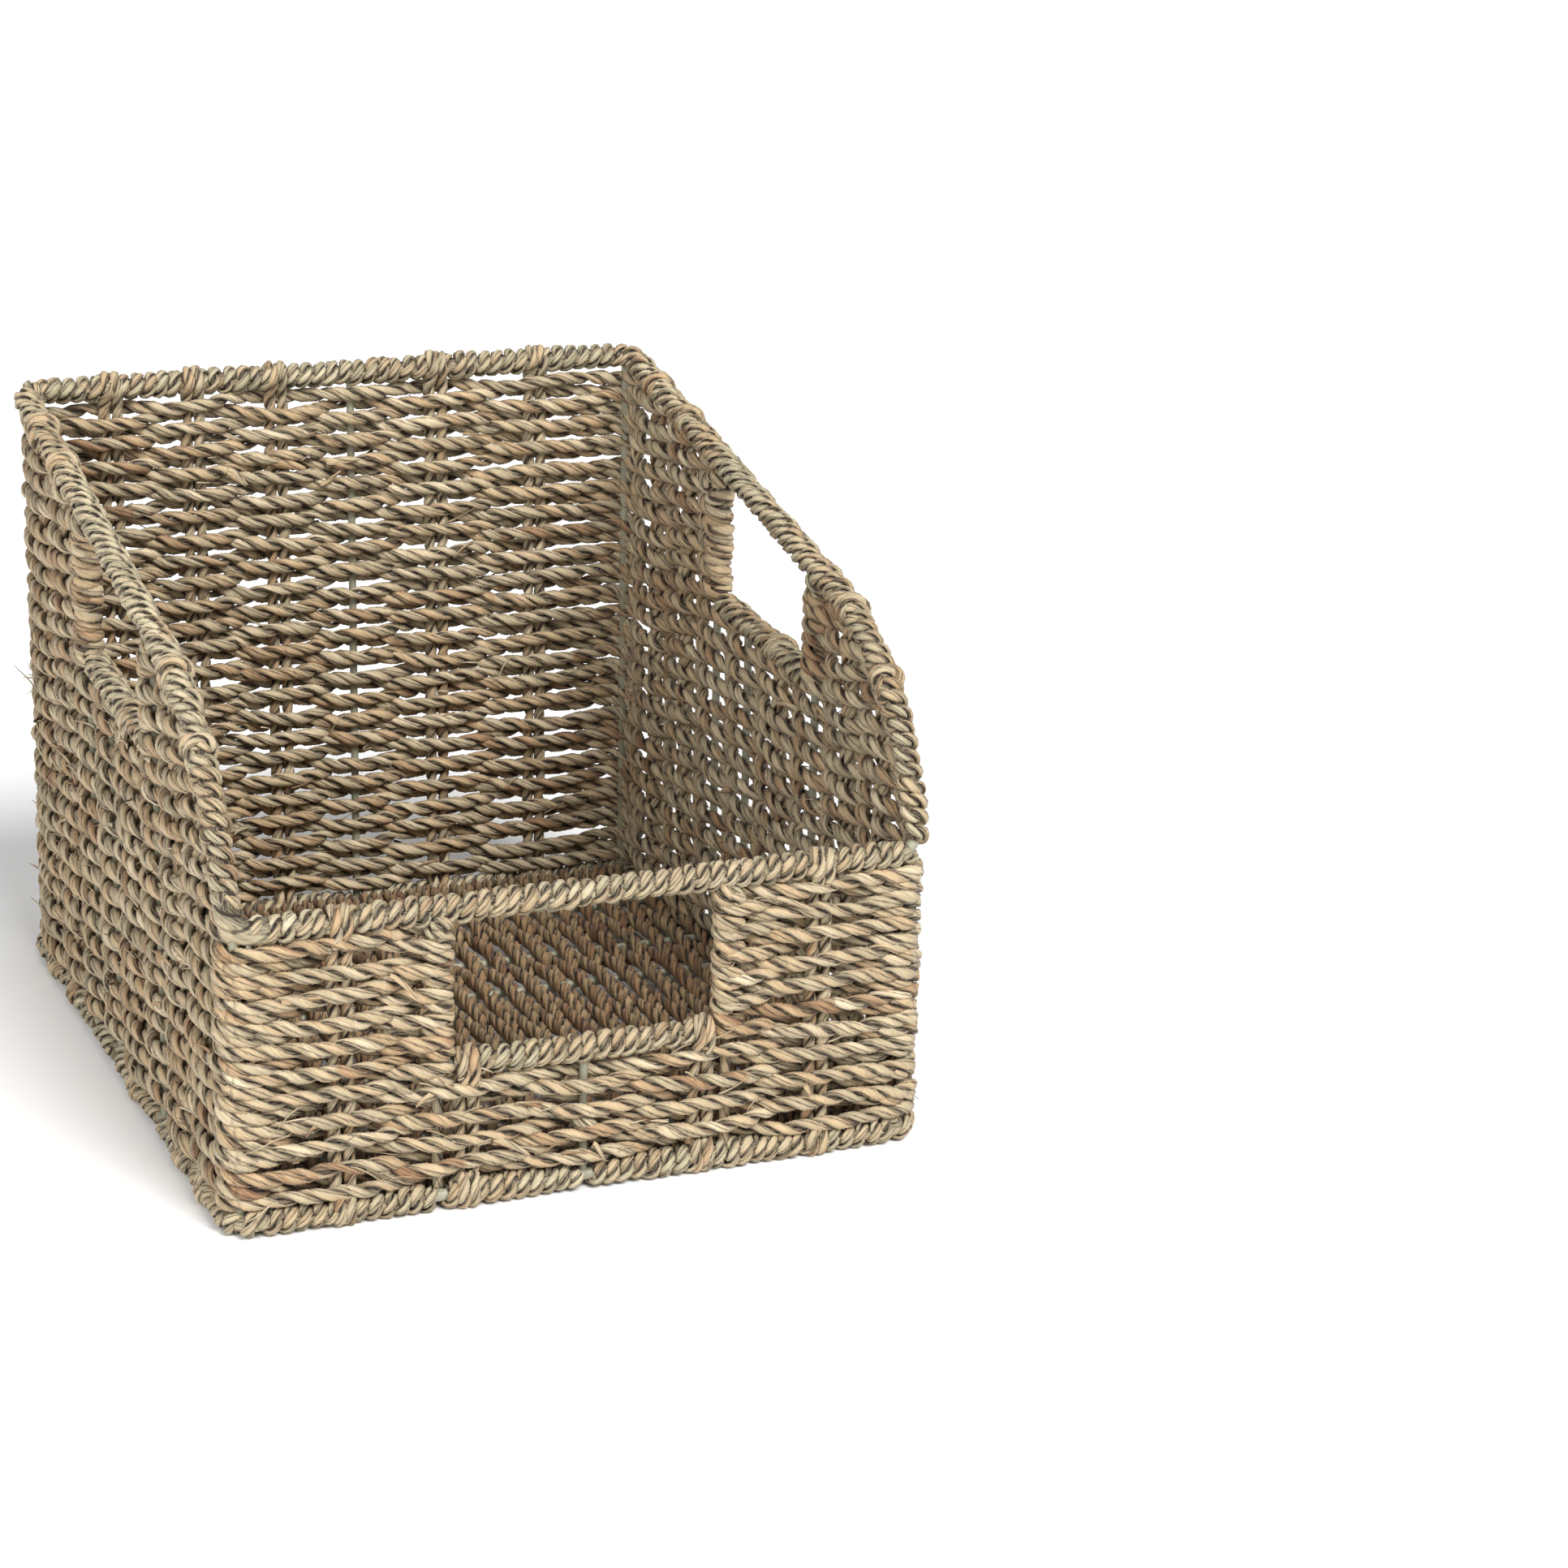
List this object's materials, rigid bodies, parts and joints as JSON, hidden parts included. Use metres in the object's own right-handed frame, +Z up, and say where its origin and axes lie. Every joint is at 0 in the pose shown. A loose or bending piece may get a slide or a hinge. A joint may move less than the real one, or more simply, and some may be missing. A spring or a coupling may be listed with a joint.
{
  "type": "seagrass storage basket",
  "caption": "Open-front storage basket of twisted seagrass rope woven on a painted wire frame, with a low front rail, sloping side rims and cut-out hand openings.",
  "frame": {"origin": "centre of the underside, on the surface that the basket stands on", "axes": "+Z up, -Y towards the low open front, +X to the right as seen from the front"},
  "size_m": [0.2708, 0.3148, 0.2432],
  "materials": {
    "painted_wire": "satin sage grey-green paint on round steel wire",
    "wall_grass": "dry twisted seagrass cord, matt, with loose fibres",
    "base_grass": "dry twisted seagrass cord, matt and darker",
    "rim_grass": "pale seagrass cord wound over the wire, low sheen"
  },
  "bodies": {
    "root": {"base_wire": "painted_wire", "rim_wire": "painted_wire", "front_left_post": "painted_wire", "front_right_post": "painted_wire", "back_left_post": "painted_wire", "back_right_post": "painted_wire", "front_stake": "painted_wire", "back_stake": "painted_wire", "left_stake": "painted_wire", "right_stake": "painted_wire", "front_left_upright": "painted_wire", "front_right_upright": "painted_wire", "front_sill_wire": "painted_wire", "left_front_upright": "painted_wire", "left_rear_upright": "painted_wire", "left_sill_wire": "painted_wire", "right_front_upright": "painted_wire", "right_rear_upright": "painted_wire", "right_sill_wire": "painted_wire", "base_cross_wires": "painted_wire", "front_weave": "wall_grass", "back_weave": "wall_grass", "left_weave": "wall_grass", "right_weave": "wall_grass", "base_weave": "base_grass", "front_rope_stakes": "wall_grass", "back_rope_stakes": "wall_grass", "left_rope_stakes": "wall_grass", "right_rope_stakes": "wall_grass", "front_rail_wrap": "rim_grass", "back_rim_wrap": "rim_grass", "left_rim_wrap": "rim_grass", "right_rim_wrap": "rim_grass", "front_sill_wrap": "rim_grass", "left_sill_wrap": "rim_grass", "right_sill_wrap": "rim_grass", "front_base_wrap": "rim_grass", "back_base_wrap": "rim_grass", "left_base_wrap": "rim_grass", "right_base_wrap": "rim_grass"}
  },
  "joints": []
}
